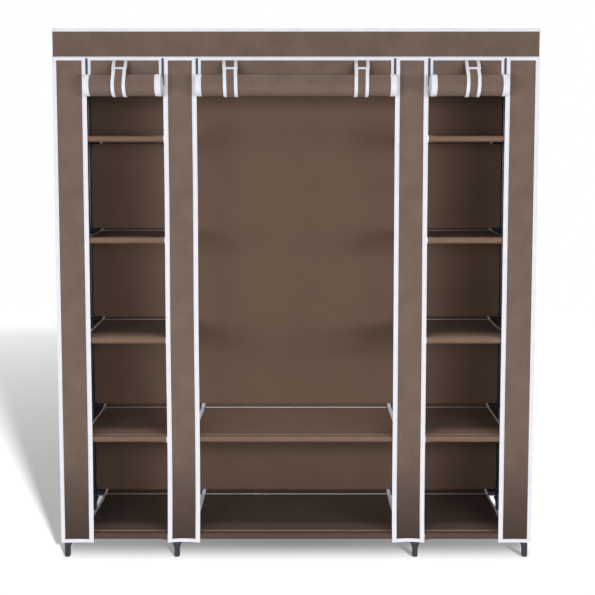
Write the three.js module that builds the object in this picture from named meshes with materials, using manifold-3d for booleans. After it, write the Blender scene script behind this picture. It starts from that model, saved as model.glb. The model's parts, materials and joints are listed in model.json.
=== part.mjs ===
// Portable fabric wardrobe in three bays: a push-together frame of thin tubes, twelve slung shelves,
// a fitted cover with bound edges, and three front doors rolled up and strapped under the header.
// Millimetres, +Z up, front towards -Y. The origin is on the floor, under the middle of the whole part.

import * as THREE from "three";
import { mergeVertices } from "three/addons/utils/BufferGeometryUtils.js";
import Module from "manifold-3d";

const wasm = await Module();
wasm.setup();

// Outside of the cover
const width = 1500;
const depth = 450;
const height = 1670;

// Clearances and cutting
const seatGap = 0.3;
const coverSideSlack = 5;
const doorSideGap = 0.5;
const overrun = 4;
const mergeDistance = 0.001;

// Frame tubes and their plastic connectors
const tubeRadius = 8;
const tubeWall = 1;
const tubeSides = 8;
const sleeveWall = 3;
const sleeveRise = 18;
const socketWall = 2.5;
const socketReach = 42;
const capRise = 18;
const capRoof = 3;
const levelCount = 6;
const baseRailHeight = 67;
const middleBayPitch = 762;
const rodClipReach = 20;

// Feet
const footWidth = 17;
const footDepth = 20;
const footTipRadius = 5;
const footBevel = 2;
const footFlareReach = 8;
const footFlareShare = 0.54;
const footFlareBendShare = 0.45;
const footPlugLength = 30;

// Fabric
const sheetThickness = 1.6;
const bindingProud = 0.4;
const loopWall = 1.2;

// Bound edges of the cover
const topBand = 10;
const cornerBand = 13;
const edgeBand = 14;
const hemBand = 11;
const hemBottom = 49;
const headerDrop = 97;
const headerHem = 14;

// Front strips and openings
const outerStripWidth = 105;
const innerStripWidth = 102;
const middleOpening = 612;

// Rolled doors and their straps
const flapDrop = 78;
const rollCoreRadius = 5;
const rollLayerGap = 0.9;
const rollTurnSteps = 14;
const strapWidth = 44;
const strapThickness = 1.6;
const strapArcSteps = 16;
const strapBackRise = 84;
const sideStrapInset = 104;
const middleStrapInset = 103;

// The cover's inside, and the frame that fills it
const bindingThickness = sheetThickness + bindingProud;
const coverInnerX = width / 2 - bindingThickness;
const coverInnerY = depth / 2 - bindingThickness;
const coverInnerTop = height - bindingThickness;
const sleeveRadius = tubeRadius + sleeveWall;
const socketRadius = tubeRadius + socketWall;
const boreRadius = tubeRadius + seatGap;
const postOuterX = coverInnerX - coverSideSlack - sleeveRadius;
const postInnerX = middleBayPitch / 2;
const railY = coverInnerY - seatGap - sleeveRadius;
const topRailHeight = coverInnerTop - seatGap - capRise;
const levelPitch = (topRailHeight - baseRailHeight) / (levelCount - 1);
const topLevel = levelCount - 1;
const footTop = baseRailHeight - sleeveRise - seatGap;

// The front's lines, from the outside to the middle
const outerStripEdge = width / 2 - outerStripWidth;
const innerStripEdge = middleOpening / 2;
const innerStripOuterEdge = innerStripEdge + innerStripWidth;
const headerBottom = height - headerDrop;
const stripBottom = hemBottom + hemBand;
const sideStrapX = outerStripEdge - sideStrapInset;
const middleStrapX = innerStripEdge - middleStrapInset;

// The rolled doors
const rollPitch = sheetThickness + rollLayerGap;
const rolledLength = headerBottom - hemBottom - flapDrop;
const rollLineRadius = Math.sqrt(rollCoreRadius ** 2 + (rolledLength * rollPitch) / Math.PI);
const rollRadius = rollLineRadius + sheetThickness / 2;
const rollHeight = headerBottom - flapDrop;
const rollY = -coverInnerY - rollRadius;

const fabric = { color: 0x7d6b60, roughness: 0.95, metalness: 0 };
const whiteBinding = { color: 0xeeeef4, roughness: 0.85, metalness: 0 };
const blackTube = { color: 0x1b1b1d, roughness: 0.4, metalness: 0.5 };
const darkPlastic = { color: 0x23252e, roughness: 0.5, metalness: 0 };

// A closed geometry as a solid that can be joined and cut.
function solidOf(geometry) {
  const loose = geometry.index ? geometry.toNonIndexed() : geometry;
  const bare = new THREE.BufferGeometry();
  bare.setAttribute("position", loose.getAttribute("position"));
  const merged = mergeVertices(bare, mergeDistance);
  const vertProperties = merged.attributes.position.array;
  const triVerts = new Uint32Array(merged.index.array);
  return new wasm.Manifold(new wasm.Mesh({ numProp: 3, vertProperties, triVerts }));
}

function geometryOf(solid) {
  const mesh = solid.getMesh();
  const geometry = new THREE.BufferGeometry();
  geometry.setAttribute("position", new THREE.BufferAttribute(mesh.vertProperties, 3));
  geometry.setIndex(new THREE.BufferAttribute(mesh.triVerts, 1));
  geometry.computeVertexNormals();
  return geometry;
}

function piece(name, geometry, finish) {
  const mesh = new THREE.Mesh(geometry, new THREE.MeshStandardMaterial(finish));
  mesh.name = name;
  return mesh;
}

// A round bar along one axis, between two places on that axis, through the point at.
const turnTo = {
  x: (geometry) => geometry.rotateZ(-Math.PI / 2),
  y: (geometry) => geometry,
  z: (geometry) => geometry.rotateX(Math.PI / 2),
};

function bar(axis, start, end, radius, at) {
  const geometry = turnTo[axis](new THREE.CylinderGeometry(radius, radius, end - start, tubeSides));
  const centre = new THREE.Vector3(at.x ?? 0, at.y ?? 0, at.z ?? 0);
  centre[axis] = (start + end) / 2;
  return solidOf(geometry.translate(centre.x, centre.y, centre.z));
}

// A flat-sided block between two corners, given as [x, y, z].
function block(low, high) {
  const size = high.map((value, i) => value - low[i]);
  const middle = high.map((value, i) => (value + low[i]) / 2);
  return new THREE.BoxGeometry(...size).translate(...middle);
}

function solidBlock(low, high) {
  return solidOf(block(low, high));
}

function join(solids) {
  return solids.reduce((sum, solid) => sum.add(solid));
}

// A profile drawn in Y and Z, stretched along X.
const profileToSide = new THREE.Matrix4().makeBasis(
  new THREE.Vector3(0, 1, 0),
  new THREE.Vector3(0, 0, 1),
  new THREE.Vector3(1, 0, 0),
);

function stretchAlongX(shape, start, end) {
  const geometry = new THREE.ExtrudeGeometry(shape, { depth: end - start, bevelEnabled: false });
  return geometry.applyMatrix4(profileToSide).translate(start, 0, 0);
}

// The outline of a ribbon of even thickness along a line of points.
function ribbonShape(line, thickness) {
  const sides = line.map((point, i) => {
    const before = line[Math.max(i - 1, 0)];
    const after = line[Math.min(i + 1, line.length - 1)];
    const along = after.clone().sub(before).normalize();
    const across = new THREE.Vector2(-along.y, along.x).multiplyScalar(thickness / 2);
    return [point.clone().add(across), point.clone().sub(across)];
  });
  const left = sides.map((pair) => pair[0]);
  const right = sides.map((pair) => pair[1]).reverse();
  return new THREE.Shape([...left, ...right]);
}

const railHeight = (level) => baseRailHeight + level * levelPitch;

// Frame: one level is a rectangle of rails, with a sleeve and its sockets at every post.
function connector(x, y, z, towards, rise, fall) {
  const reach = (side) => (towards[side] ? socketReach : 0);
  const inward = y - Math.sign(y) * socketReach;
  return join([
    bar("z", z - fall, z + rise, sleeveRadius, { x, y }),
    bar("x", x - reach("left"), x + reach("right"), socketRadius, { y, z }),
    bar("y", Math.min(y, inward), Math.max(y, inward), socketRadius, { x, z }),
  ]);
}

function frameLevel(postXs, level) {
  const z = railHeight(level);
  const capped = level === topLevel;
  const rise = capped ? capRise : sleeveRise;
  const boreTop = capped ? z + capRise - capRoof : z + rise + overrun;
  const first = postXs[0];
  const last = postXs.at(-1);
  const solids = postXs.map((x) => bar("y", -railY, railY, tubeRadius, { x, z }));
  const bores = [];
  for (const y of [-railY, railY]) {
    solids.push(bar("x", first, last, tubeRadius, { y, z }));
    for (const x of postXs) {
      solids.push(connector(x, y, z, { left: x > first, right: x < last }, rise, sleeveRise));
      bores.push(bar("z", z - sleeveRise - overrun, boreTop, boreRadius, { x, y }));
    }
  }
  return geometryOf(join(solids).subtract(join(bores)));
}

const leftPosts = [-postOuterX, -postInnerX];
const rightPosts = [postInnerX, postOuterX];
const allPosts = [...leftPosts, ...rightPosts];

const postPlaces = [
  { name: "left_outer", x: -postOuterX, flare: { left: 0, right: 1 } },
  { name: "left_inner", x: -postInnerX, flare: { left: 1, right: 1 } },
  { name: "right_inner", x: postInnerX, flare: { left: 1, right: 1 } },
  { name: "right_outer", x: postOuterX, flare: { left: 1, right: 0 } },
];
const postRows = [
  { name: "front", y: -railY },
  { name: "back", y: railY },
];

function post(x, y) {
  const bottom = footTop + seatGap;
  const top = topRailHeight + capRise - capRoof - seatGap;
  const tube = bar("z", bottom, top, tubeRadius, { x, y });
  const hollow = bar("z", bottom - overrun, top + overrun, tubeRadius - tubeWall, { x, y });
  return geometryOf(tube.subtract(hollow));
}

// A foot seen from the front: a narrow leg with a round tip, flared on the sides that have a rail.
function footShape(flare) {
  const half = footWidth / 2;
  const flareStart = footTop * footFlareShare;
  const flareBend = flareStart + (footTop - flareStart) * footFlareBendShare;
  const left = half + flare.left * footFlareReach;
  const right = half + flare.right * footFlareReach;
  const shape = new THREE.Shape();
  shape.moveTo(-half + footTipRadius, 0);
  shape.lineTo(half - footTipRadius, 0);
  shape.quadraticCurveTo(half, 0, half, footTipRadius);
  shape.lineTo(half, flareStart);
  shape.quadraticCurveTo(half + (right - half) / 2, flareBend, right, footTop);
  shape.lineTo(-left, footTop);
  shape.quadraticCurveTo(-half - (left - half) / 2, flareBend, -half, flareStart);
  shape.lineTo(-half, footTipRadius);
  shape.quadraticCurveTo(-half, 0, -half + footTipRadius, 0);
  return shape;
}

function foot(x, y, flare) {
  const settings = {
    depth: footDepth - 2 * footBevel,
    bevelThickness: footBevel,
    bevelSize: footBevel,
    bevelOffset: -footBevel,
    bevelSegments: 1,
    curveSegments: 3,
  };
  const leg = new THREE.ExtrudeGeometry(footShape(flare), settings);
  leg.rotateX(Math.PI / 2).translate(x, y + footDepth / 2 - footBevel, 0);
  const plugRadius = tubeRadius - tubeWall - seatGap;
  const plug = bar("z", footTop - overrun, footTop + footPlugLength, plugRadius, { x, y });
  return geometryOf(solidOf(leg).add(plug));
}

// The rod hangs by a clip round each of the middle bay's top side rails.
function hangingRod() {
  const z = topRailHeight;
  const clips = [-postInnerX, postInnerX].map((x) => ({
    ring: bar("y", -rodClipReach, rodClipReach, sleeveRadius, { x, z }),
    bore: bar("y", -rodClipReach - overrun, rodClipReach + overrun, boreRadius, { x, z }),
  }));
  const rod = bar("x", -postInnerX, postInnerX, tubeRadius, { z });
  const body = join([rod, ...clips.map((clip) => clip.ring)]);
  return geometryOf(body.subtract(join(clips.map((clip) => clip.bore))));
}

function buildFrame() {
  const frame = new THREE.Group();
  const add = (name, geometry, finish) => frame.add(piece(name, geometry, finish));
  add("base_frame", frameLevel(allPosts, 0), blackTube);
  add("lower_frame", frameLevel(allPosts, 1), blackTube);
  for (let level = 2; level < topLevel; level += 1) {
    add(`left_frame_${level}`, frameLevel(leftPosts, level), blackTube);
    add(`right_frame_${level}`, frameLevel(rightPosts, level), blackTube);
  }
  add("top_frame", frameLevel(allPosts, topLevel), blackTube);
  for (const place of postPlaces) {
    for (const row of postRows) {
      const name = `${place.name}_${row.name}`;
      add(`post_${name}`, post(place.x, row.y), blackTube);
      add(`foot_${name}`, foot(place.x, row.y, place.flare), darkPlastic);
    }
  }
  add("hanging_rod", hangingRod(), blackTube);
  return frame;
}

// A shelf is a sheet over the front rail and the back rail, with a loop of its own round each.
const loopRadius = boreRadius + loopWall;

function shelf(start, end, level) {
  const z = railHeight(level);
  const sheetTop = z + loopRadius;
  const sheet = solidBlock([start, -railY, sheetTop - sheetThickness], [end, railY, sheetTop]);
  const loops = [-railY, railY].map((y) => bar("x", start, end, loopRadius, { y, z }));
  const bores = [-railY, railY].map((y) =>
    bar("x", start - overrun, end + overrun, boreRadius, { y, z }),
  );
  return geometryOf(join([sheet, ...loops]).subtract(join(bores)));
}

function buildShelves() {
  const shelves = new THREE.Group();
  const inset = socketReach + seatGap;
  const bays = [
    { name: "left", posts: leftPosts, levels: topLevel },
    { name: "right", posts: rightPosts, levels: topLevel },
    { name: "middle", posts: [-postInnerX, postInnerX], levels: 2 },
  ];
  for (const bay of bays) {
    for (let level = 0; level < bay.levels; level += 1) {
      const geometry = shelf(bay.posts[0] + inset, bay.posts[1] - inset, level);
      shelves.add(piece(`shelf_${bay.name}_${level}`, geometry, fabric));
    }
  }
  return shelves;
}

// The bound edges of the cover: a thin hollow box, open below, with a window for each panel.
function coverPiping() {
  const x = width / 2;
  const y = depth / 2;
  const windowTop = height - topBand;
  const shell = solidBlock([-x, -y, hemBottom], [x, y, height]).subtract(
    solidBlock([-coverInnerX, -coverInnerY, hemBottom - overrun], [coverInnerX, coverInnerY, coverInnerTop]),
  );
  const cornerX = x - cornerBand;
  const cornerY = y - cornerBand;
  const windows = [
    [[topBand - x, topBand - y, coverInnerTop - overrun], [x - topBand, y - topBand, height + overrun]],
    [[-x - overrun, -cornerY, stripBottom], [x + overrun, cornerY, windowTop]],
    [[-cornerX, coverInnerY - overrun, stripBottom], [cornerX, y + overrun, windowTop]],
    [[-cornerX, -y - overrun, hemBottom - overrun], [cornerX, overrun - coverInnerY, windowTop]],
  ];
  return geometryOf(shell.subtract(join(windows.map(([low, high]) => solidBlock(low, high)))));
}

// The bound edges of the front: the header's hem, and both sides and the foot of every strip.
function frontBinding() {
  const edge = width / 2 - cornerBand - seatGap;
  const bars = [[-edge, edge, headerBottom, headerBottom + headerHem]];
  for (const side of [-1, 1]) {
    const lines = [
      [outerStripEdge, outerStripEdge + edgeBand, hemBottom, headerBottom + headerHem / 2],
      [innerStripEdge, innerStripEdge + edgeBand, hemBottom, headerBottom + headerHem / 2],
      [innerStripOuterEdge - edgeBand, innerStripOuterEdge, hemBottom, headerBottom + headerHem / 2],
      [outerStripEdge, edge, hemBottom, stripBottom],
      [innerStripEdge, innerStripOuterEdge, hemBottom, stripBottom],
    ];
    for (const [near, far, bottom, top] of lines) {
      bars.push([Math.min(side * near, side * far), Math.max(side * near, side * far), bottom, top]);
    }
  }
  const solids = bars.map(([left, right, bottom, top]) =>
    solidBlock([left, -depth / 2, bottom], [right, -coverInnerY, top]),
  );
  return geometryOf(join(solids));
}

// A flat panel in the front or the back of the cover.
function uprightPanel(left, right, bottom, top, innerY) {
  const outerY = innerY + Math.sign(innerY) * sheetThickness;
  return block([left, Math.min(innerY, outerY), bottom], [right, Math.max(innerY, outerY), top]);
}

function frontStrips() {
  const top = headerBottom - seatGap;
  const bottom = stripBottom + seatGap;
  const spans = {
    outer: [outerStripEdge + edgeBand + seatGap, width / 2 - cornerBand - seatGap],
    inner: [innerStripEdge + edgeBand + seatGap, innerStripOuterEdge - edgeBand - seatGap],
  };
  const strips = [];
  for (const [place, [near, far]] of Object.entries(spans)) {
    const left = uprightPanel(-far, -near, bottom, top, -coverInnerY);
    const right = uprightPanel(near, far, bottom, top, -coverInnerY);
    strips.push(piece(`strip_left_${place}`, left, fabric));
    strips.push(piece(`strip_right_${place}`, right, fabric));
  }
  return strips;
}

function sidePanel(side) {
  const half = depth / 2 - cornerBand - seatGap;
  const xs = [side * coverInnerX, side * (coverInnerX + sheetThickness)];
  const low = [Math.min(...xs), -half, stripBottom + seatGap];
  const high = [Math.max(...xs), half, height - topBand - seatGap];
  return block(low, high);
}

function buildCover() {
  const cover = new THREE.Group();
  const inset = topBand + seatGap;
  const edge = width / 2 - cornerBand - seatGap;
  const panelTop = height - topBand - seatGap;
  const panelBottom = stripBottom + seatGap;
  const headerPanelBottom = headerBottom + headerHem + seatGap;
  const roofX = width / 2 - inset;
  const roofY = depth / 2 - inset;
  const roof = block([-roofX, -roofY, coverInnerTop], [roofX, roofY, coverInnerTop + sheetThickness]);
  const back = uprightPanel(-edge, edge, panelBottom, panelTop, coverInnerY);
  const header = uprightPanel(-edge, edge, headerPanelBottom, panelTop, -coverInnerY);
  cover.add(piece("roof_panel", roof, fabric));
  cover.add(piece("back_panel", back, fabric));
  cover.add(piece("header_band", header, fabric));
  cover.add(piece("side_panel_left", sidePanel(-1), fabric));
  cover.add(piece("side_panel_right", sidePanel(1), fabric));
  cover.add(...frontStrips());
  cover.add(piece("cover_piping", coverPiping(), whiteBinding));
  cover.add(piece("front_binding", frontBinding(), whiteBinding));
  return cover;
}

// The door's rolled length, as a spiral that starts at the back of the roll and goes under it.
function rollLine() {
  const turns = (rollLineRadius - rollCoreRadius) / rollPitch;
  const steps = Math.round(turns * rollTurnSteps);
  return Array.from({ length: steps + 1 }, (_, i) => {
    const angle = (i / rollTurnSteps) * 2 * Math.PI;
    const radius = rollLineRadius - (rollPitch * i) / rollTurnSteps;
    return new THREE.Vector2(rollY + radius * Math.cos(angle), rollHeight - radius * Math.sin(angle));
  });
}

function leastLayerGap(line) {
  let least = Infinity;
  for (let i = 0; i + rollTurnSteps < line.length; i += 1) {
    least = Math.min(least, line[i].distanceTo(line[i + rollTurnSteps]) - sheetThickness);
  }
  return least;
}

// A strap comes from under the header, over the front of the roll and under it, and up behind the flap.
function strapLine() {
  const topY = -coverInnerY - sheetThickness - seatGap - strapThickness / 2;
  const start = new THREE.Vector2(topY, headerBottom - seatGap);
  const centre = new THREE.Vector2(rollY, rollHeight);
  const arc = (radius) => {
    const reach = start.clone().sub(centre);
    return reach.angle() + Math.acos(radius / reach.length());
  };
  const clearRadius = rollRadius + seatGap;
  const step = (2 * Math.PI - arc(clearRadius)) / strapArcSteps;
  const radius = clearRadius / Math.cos(step / 2) + strapThickness / 2;
  const from = arc(radius);
  const points = [start];
  for (let i = 0; i <= strapArcSteps; i += 1) {
    const angle = from + ((2 * Math.PI - from) * i) / strapArcSteps;
    points.push(new THREE.Vector2(Math.cos(angle), Math.sin(angle)).multiplyScalar(radius).add(centre));
  }
  points.push(new THREE.Vector2(rollY + radius, rollHeight + strapBackRise));
  return points;
}

function buildDoors() {
  const doors = new THREE.Group();
  const line = rollLine();
  console.log(`least gap between the layers of a roll: ${leastLayerGap(line).toFixed(2)} mm`);
  const rollShape = ribbonShape(line, sheetThickness);
  const strapShape = ribbonShape(strapLine(), strapThickness);
  const openings = [
    { name: "left", left: -outerStripEdge, right: -innerStripOuterEdge },
    { name: "middle", left: -innerStripEdge, right: innerStripEdge },
    { name: "right", left: innerStripOuterEdge, right: outerStripEdge },
  ];
  for (const opening of openings) {
    const left = opening.left + doorSideGap;
    const right = opening.right - doorSideGap;
    const flap = uprightPanel(left, right, rollHeight + seatGap, headerBottom - seatGap, -coverInnerY);
    doors.add(piece(`door_roll_${opening.name}`, stretchAlongX(rollShape, left, right), fabric));
    doors.add(piece(`door_flap_${opening.name}`, flap, fabric));
  }
  const straps = {
    left: -sideStrapX,
    middle_left: -middleStrapX,
    middle_right: middleStrapX,
    right: sideStrapX,
  };
  for (const [name, x] of Object.entries(straps)) {
    const band = stretchAlongX(strapShape, x - strapWidth / 2, x + strapWidth / 2);
    doors.add(piece(`strap_${name}`, band, fabric));
  }
  return doors;
}

// The whole wardrobe, moved so that its outside is centred over the origin from front to back.
const wardrobe = new THREE.Group();
wardrobe.add(buildFrame(), buildShelves(), buildCover(), buildDoors());
const outside = new THREE.Box3().setFromObject(wardrobe);
wardrobe.position.y = -(outside.min.y + outside.max.y) / 2;

export default wardrobe;
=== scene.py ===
import json
import math

import bmesh
import bpy
import numpy as np
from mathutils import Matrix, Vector

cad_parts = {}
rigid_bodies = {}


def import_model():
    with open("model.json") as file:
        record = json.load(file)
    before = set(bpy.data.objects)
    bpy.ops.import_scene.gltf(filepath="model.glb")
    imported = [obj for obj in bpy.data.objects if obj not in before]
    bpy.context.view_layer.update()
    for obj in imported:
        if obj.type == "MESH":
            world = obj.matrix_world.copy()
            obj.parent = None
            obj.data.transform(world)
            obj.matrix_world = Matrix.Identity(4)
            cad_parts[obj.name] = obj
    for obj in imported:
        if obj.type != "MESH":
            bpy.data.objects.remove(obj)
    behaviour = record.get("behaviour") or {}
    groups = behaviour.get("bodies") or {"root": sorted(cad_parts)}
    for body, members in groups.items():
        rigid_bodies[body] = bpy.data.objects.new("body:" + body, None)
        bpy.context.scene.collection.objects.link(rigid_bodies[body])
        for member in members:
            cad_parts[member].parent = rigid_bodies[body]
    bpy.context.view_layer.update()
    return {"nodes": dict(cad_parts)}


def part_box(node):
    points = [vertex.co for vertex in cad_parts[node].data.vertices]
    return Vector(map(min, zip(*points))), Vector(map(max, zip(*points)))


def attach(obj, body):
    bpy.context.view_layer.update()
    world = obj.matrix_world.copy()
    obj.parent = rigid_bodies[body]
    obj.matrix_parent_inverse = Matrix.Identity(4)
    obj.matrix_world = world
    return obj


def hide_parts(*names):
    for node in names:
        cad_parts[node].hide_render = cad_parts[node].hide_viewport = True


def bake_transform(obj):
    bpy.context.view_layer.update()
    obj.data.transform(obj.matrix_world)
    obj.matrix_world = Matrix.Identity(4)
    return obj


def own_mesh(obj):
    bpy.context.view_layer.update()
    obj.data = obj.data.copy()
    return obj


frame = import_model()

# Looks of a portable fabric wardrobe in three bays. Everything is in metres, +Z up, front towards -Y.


def boxes(start):
    """The boxes of the nodes whose names start so, by the rest of the name."""
    names = sorted(name for name in frame["nodes"] if name.startswith(start))
    return {name.removeprefix(start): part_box(name) for name in names}


# Places that the frame gives
cover_low, cover_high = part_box("cover_piping")
FRONT, BACK = cover_low.y, cover_high.y
SIDE, TOP, HEM = cover_high.x, cover_high.z, cover_low.z
GAP = 0.0003
FRAME_LEVELS = {name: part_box(name) for name in sorted(frame["nodes"]) if "_frame" in name}
POSTS = {name: (low + high) / 2 for name, (low, high) in boxes("post_").items()}
POST_XS = sorted({round(place.x, 5) for place in POSTS.values()})
RAIL_YS = sorted({round(place.y, 5) for place in POSTS.values()})
FRONT_RAIL, BACK_RAIL = RAIL_YS
DOORS = boxes("door_roll_")
DOOR_GAP = 0.0005
OPENINGS = {side: (low.x - DOOR_GAP, high.x + DOOR_GAP) for side, (low, high) in DOORS.items()}
flap_low, flap_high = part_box("door_flap_left")
HEADER_BOTTOM, ROLL_HEIGHT = flap_high.z + GAP, flap_low.z - GAP
STRAP_XS = {name: (low.x + high.x) / 2 for name, (low, high) in boxes("strap_").items()}

# Frame tubes, connectors and feet
TURNED_SIDES = 28
TUBE_RADIUS = 0.008
TUBE_WALL = 0.001
CONNECTOR_RISE = 0.018
SLEEVE_RADIUS = 0.0106
SLEEVE_COLLAR = 0.0006
COLLAR_HEIGHT = 0.0032
SOCKET_RADIUS = 0.0101
SOCKET_REACH = 0.042
SOCKET_START = 0.007
BORE_RADIUS = 0.0081
CAP_DOME = 0.0035
ROD_CLIP_REACH = 0.02
ROD_CUP_REACH = 0.0294
FOOT_WIDTH = 0.017
FOOT_DEPTH = 0.020
FOOT_TIP = 0.005
FOOT_EASE = 0.0008
FOOT_SHOULDER = 0.0012
FOOT_FLARE = 0.008
FOOT_FLARE_SHARE = 0.54
FOOT_FLARE_POWER = 16 / 11
FOOT_CORNER_POWER = 5.0
FOOT_RING_POINTS = 32
PLUG_PROFILE = ((-0.004, 1.0), (0.028, 1.0), (0.030, 0.8))  # height, and share of its radius

# Cloth and its bindings
CLOTH = 0.0009
TAPE = 0.0005
CLOTH_INSET = 0.0012
EDGE_INSET = 0.002
FRONT_CLOTH = FRONT + CLOTH_INSET
BACK_CLOTH = BACK - CLOTH_INSET
SIDE_CLOTH = SIDE - CLOTH_INSET
HEADER_PROUD = 0.0016
TOP_BAND = 0.010
CORNER_BAND = 0.013
CORNER_ROUND = 0.0024
EDGE_BAND = 0.014
HEM_BAND = 0.011
HEADER_HEM = 0.0108
SHELF_BAND = 0.008
MIDDLE_SHELF_BAND = 0.012
STITCH_INSET = 0.0022
STITCH_PITCH = 0.0042

# Waves of the cloth: height, length, and the shares of its first and second direction that count
STRIP_WAVE = (0.0007, 0.25, 1.5, 0.5)
STRIP_EDGE_WAVE = (0.0007, 0.9)
HEADER_WAVE = (0.0004, 0.3, 0.5)
BACK_WAVE = (0.0011, 0.42, 1.2, 0.45)
SIDE_WAVE = (0.0010, 0.3, 1.4, 0.5)
ROOF_WAVE = (0.0005, 0.2)
PIPING_WAVE = (0.0002, 0.4)
SHELF_WAVE = (0.0010, 0.17, 1.0, 0.6)
SHELF_EDGE_WAVE = (0.0009, 0.14)
ROLL_WAVE = (0.0007, 0.22, 1.0, 0.05)
ROLL_FRONT_WAVE = (0.0006, 0.13, 1.0, 0.06)
ROLL_END_WAVE = (0.0008, 0.2, 0.02)
FLAP_WAVE = (0.0007, 0.2, 1.0, 0.4)
STRAP_WAVE = (0.0005, 0.12)

# Their seeds
STRIP_EDGE_SEED, STRIP_SEED, HEADER_SEED, BACK_SEED, SIDE_SEED = 3, 11, 31, 41, 47
ROOF_SEED, PIPING_SEED, SHELF_SEED, DOOR_SEED, STRAP_SEED = 53, 61, 71, 131, 171


# Mesh parts. A part is (points, faces, uvs): uvs hold a place in metres for each corner of each face.
SHARP_ANGLE = math.radians(42)


def lengths_along(points, axis):
    """Mean distance run along one axis of an (n, k, 3) array, from its start."""
    steps = np.linalg.norm(np.diff(points, axis=axis), axis=2).mean(axis=1 - axis)
    return np.concatenate([[0.0], np.cumsum(steps)])


def joined(*places):
    """Points from their x, y and z, any of which may be a single value."""
    return np.stack(np.broadcast_arrays(*places), axis=-1)


def on_circle(angles):
    return joined(np.cos(angles), np.sin(angles))


def between(start, end, shares):
    return start + (end - start) * np.asarray(shares)[:, None]


def loft(rings, around=None, caps="face", closed=False):
    """A skin over (n, k, 3) rings. caps is "face", "sheet" or None, and closed joins its last ring and first."""
    rings = np.asarray(rings, float)
    count, size = rings.shape[:2]
    if around is None:
        around = lengths_along(np.concatenate([rings, rings[:, :1]], axis=1), 1)
    along = lengths_along(rings, 0)
    if closed:
        along = np.append(along, along[-1] + np.linalg.norm(rings[0] - rings[-1], axis=1).mean())
    rows, columns = np.arange(count if closed else count - 1), np.arange(size)
    row, column = (a.ravel() for a in np.meshgrid(rows, columns, indexing="ij"))
    u, v = np.asarray(around), np.asarray(along)
    square = ((0, 0), (0, 1), (1, 1), (1, 0))
    quads = [(row + i) % count * size + (column + j) % size for i, j in square]
    corners = [np.stack([u[column + j], v[row + i]], axis=1) for i, j in square]
    faces, uvs = np.stack(quads, axis=1).tolist(), list(np.stack(corners, axis=1))
    ends = ((0, v[0]), ((count - 1) * size, v[-1]))
    if caps == "face" and not closed:
        for start, v_end in ends:
            faces.append(list(range(start, start + size)))
            uvs.append(np.stack([u[:size], np.full(size, v_end)], 1))
    if caps == "sheet":
        for start, v_end in ends:
            for j in range(size // 2 - 1):
                far = size - 1 - j
                faces.append([start + j, start + j + 1, start + far - 1, start + far])
                uvs.append(np.array([[u[k], v_end] for k in (j, j + 1, j + 1, j)]))
    return rings.reshape(-1, 3), faces, uvs


def unit(vectors):
    return vectors / np.linalg.norm(vectors, axis=-1, keepdims=True)


def normals_of(grid):
    return unit(np.cross(np.gradient(grid, axis=1), np.gradient(grid, axis=0)))


def sheet_part(grid):
    """A thin closed sheet about a grid of points."""
    offset = normals_of(grid) * CLOTH / 2
    rings = np.concatenate([grid + offset, (grid - offset)[:, ::-1]], axis=1)
    across = lengths_along(grid, 1)
    return loft(rings, np.concatenate([across, across[::-1], [0.0]]), "sheet")


def sweep(line, section, first, second, around=None):
    """A closed section of (a, b) points, swept along a line: a goes along first and b along second."""
    first, second = (np.broadcast_to(way, line.shape)[:, None] for way in (first, second))
    a, b = np.asarray(section, float).T[..., None]
    return loft(line[:, None] + a * first + b * second, around)


def stitched_around(section, outer):
    """Distance round a section from the nearer end of its outer face, which is its first points."""
    run = lengths_along(np.asarray(section + section[:1], float)[:, None], 0)
    total = run[outer - 1]
    return np.concatenate([np.minimum(run[:outer], total - run[:outer]), np.zeros(len(run) - outer)])


def fold_section(width):
    """A tape folded over a sheet's edge, its outer face first, and how many points that face has."""
    half = CLOTH / 2 + TAPE * 0.1
    outside = half + TAPE
    upper = [
        (width, half + TAPE * 0.35),
        (width - TAPE, outside),
        (width * 0.5, outside + TAPE * 0.25),
        (TAPE * 1.2, outside),
        (-TAPE * 0.5, outside * 0.72),
    ]
    outer = [*upper, (-TAPE, 0.0), *((a, -b) for a, b in reversed(upper))]
    inner = [(width - TAPE, -half), (TAPE, -half), (TAPE * 0.4, 0.0), (TAPE, half), (width - TAPE, half)]
    return outer + inner, len(outer)


# Each edge of a grid: the axis across it, its own row there and the next one in
EDGES = {"left": (1, 0, 1), "right": (1, -1, -2), "bottom": (0, 0, 1), "top": (0, -1, -2)}


def tape_part(grid, edge, width):
    """A binding tape folded over one edge of a sheet's grid."""
    axis, own, next_in = EDGES[edge]
    line, normal = grid.take(own, axis), normals_of(grid).take(own, axis)
    inward = unit(grid.take(next_in, axis) - line)
    section, outer = fold_section(width)
    return sweep(line, section, inward, normal, stitched_around(section, outer))


def corner_part(line, first, second, width):
    """A tape over the corner of two faces, which go off along first and second."""
    thick = 2 * TAPE
    arc = CORNER_ROUND * (1 - on_circle(np.linspace(0, math.pi / 2, 5))[:, ::-1])
    section = [(width, thick * 0.4), (width - thick, 0.0), *arc, (0.0, width - thick), (thick * 0.4, width)]
    outer = len(section)
    section += [(thick, width - thick), (thick, thick), (width - thick, thick)]
    return sweep(line, section, first, second, stitched_around(section, outer))


def turned(profile, start, axis, closed=False):
    """A profile of (distance, radius) points turned about an axis from a start point."""
    axis = np.asarray(axis, float)
    side = np.cross(axis, (0.0, 0.0, 1.0)) if abs(axis[2]) < 0.9 else np.array((1.0, 0.0, 0.0))
    side = unit(side)
    other = np.cross(axis, side)
    angles = np.linspace(0, math.tau, TURNED_SIDES, endpoint=False)
    circle = np.cos(angles)[:, None] * side + np.sin(angles)[:, None] * other
    rings = [np.asarray(start) + axis * distance + circle * radius for distance, radius in profile]
    return loft(rings, caps=None if closed else "face", closed=closed)


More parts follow.
